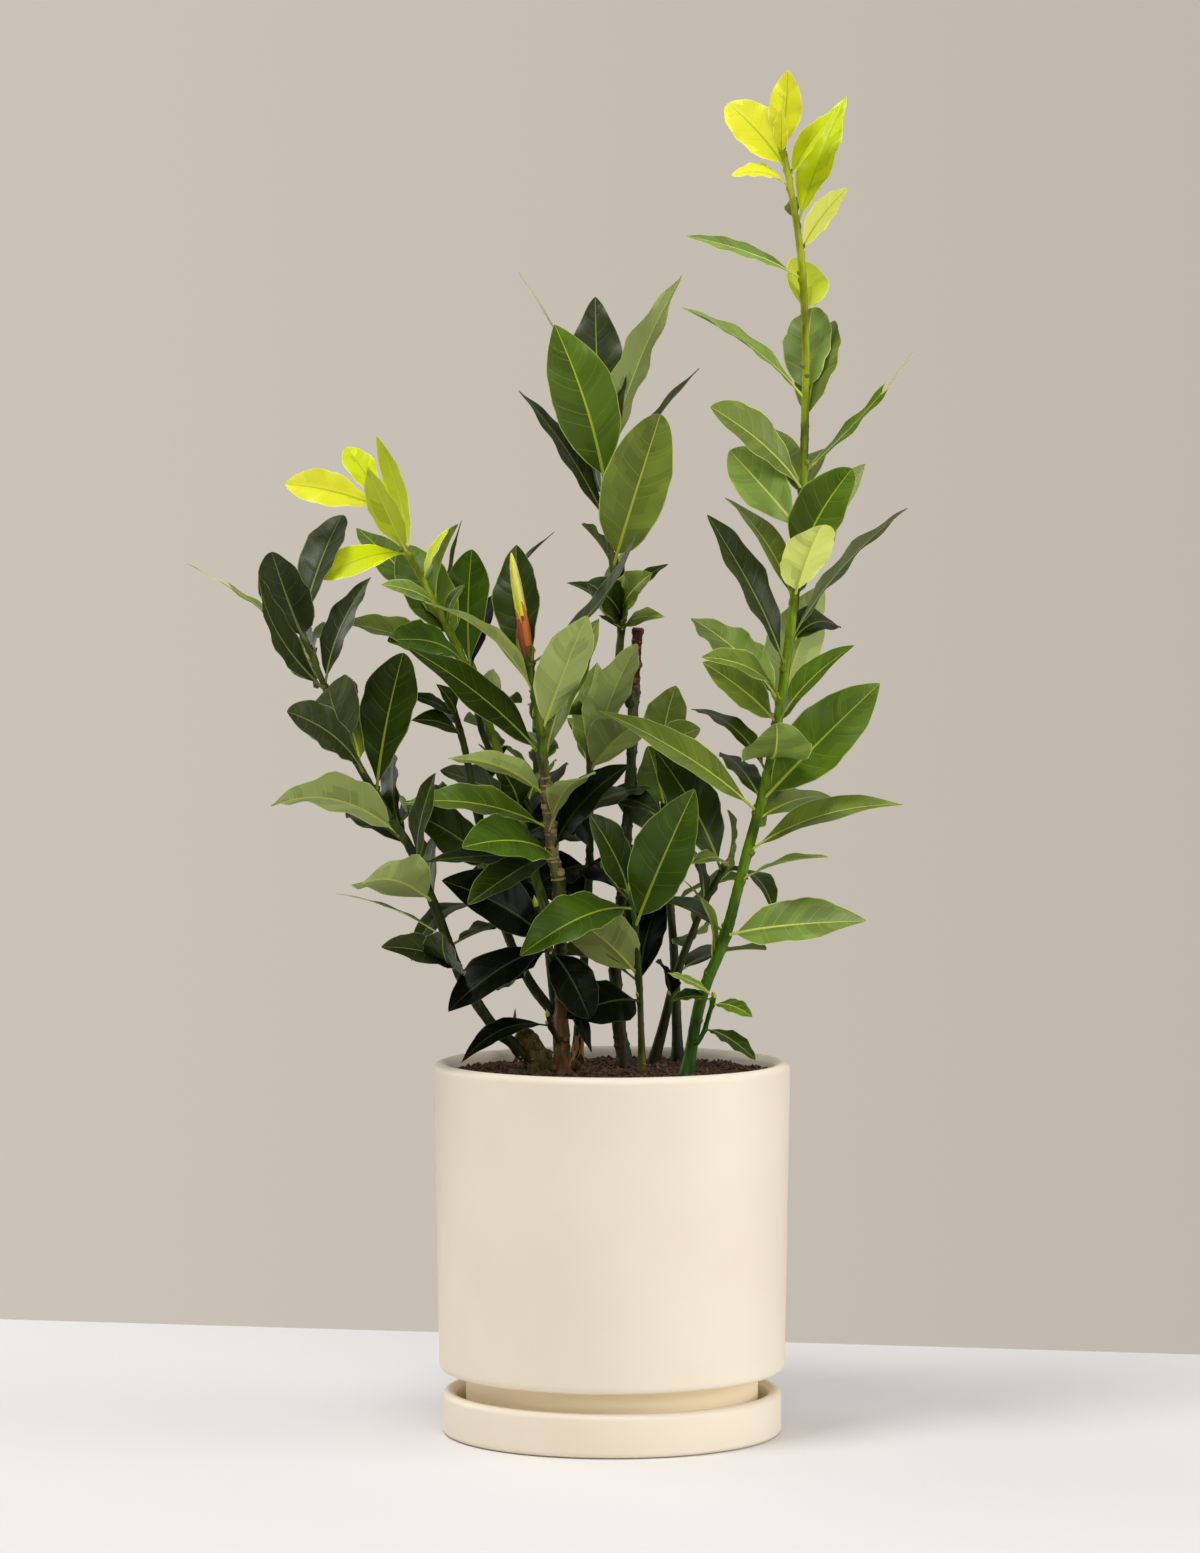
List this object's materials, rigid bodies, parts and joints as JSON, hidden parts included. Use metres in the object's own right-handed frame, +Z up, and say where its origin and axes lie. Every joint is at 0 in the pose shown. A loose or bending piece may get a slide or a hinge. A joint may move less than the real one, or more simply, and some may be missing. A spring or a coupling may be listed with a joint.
{
  "type": "potted young bay laurel bush",
  "caption": "Young bay laurel bush with several upright leafy stems, growing from dark soil in a round cream ceramic pot that stands in its matching saucer.",
  "frame": {"origin": "middle of the saucer's flat underside, on the surface that the pot stands on", "axes": "+Z up, +X to the right and -Y towards the viewer, with the tallest shoot on the +X side"},
  "size_m": [0.3833, 0.2524, 0.724],
  "materials": {
    "ceramic": "matte cream glaze",
    "soil": "dark crumbly potting soil",
    "brown_bark": "thin brown bark",
    "green_bark": "smooth green bark",
    "leaf": "leathery semi-gloss dark green leaf, paler below",
    "young_leaf": "soft lime green young leaf"
  },
  "bodies": {
    "root": {"saucer": "ceramic", "pot": "ceramic", "soil": "soil", "tall_stem": "green_bark", "old_stem": "brown_bark", "trunk_stem": "brown_bark", "left_stem": "brown_bark", "lime_stem": "green_bark", "inner_stem": "brown_bark", "young_stem": "green_bark", "right_stem": "brown_bark", "middle_stem": "brown_bark", "back_right_stem": "brown_bark", "back_left_stem": "brown_bark", "tall_leaves": "leaf", "centre_leaves": "leaf", "trunk_leaves": "leaf", "left_leaves": "leaf", "lime_leaves": "young_leaf", "inner_leaves": "leaf", "upper_left_leaves": "leaf", "low_leaves": "leaf", "young_leaves": "leaf", "right_leaves": "leaf", "middle_leaves": "leaf", "back_right_leaves": "leaf", "back_left_leaves": "leaf", "sprout_left_leaves": "leaf", "sprout_right_leaves": "leaf"}
  },
  "joints": []
}
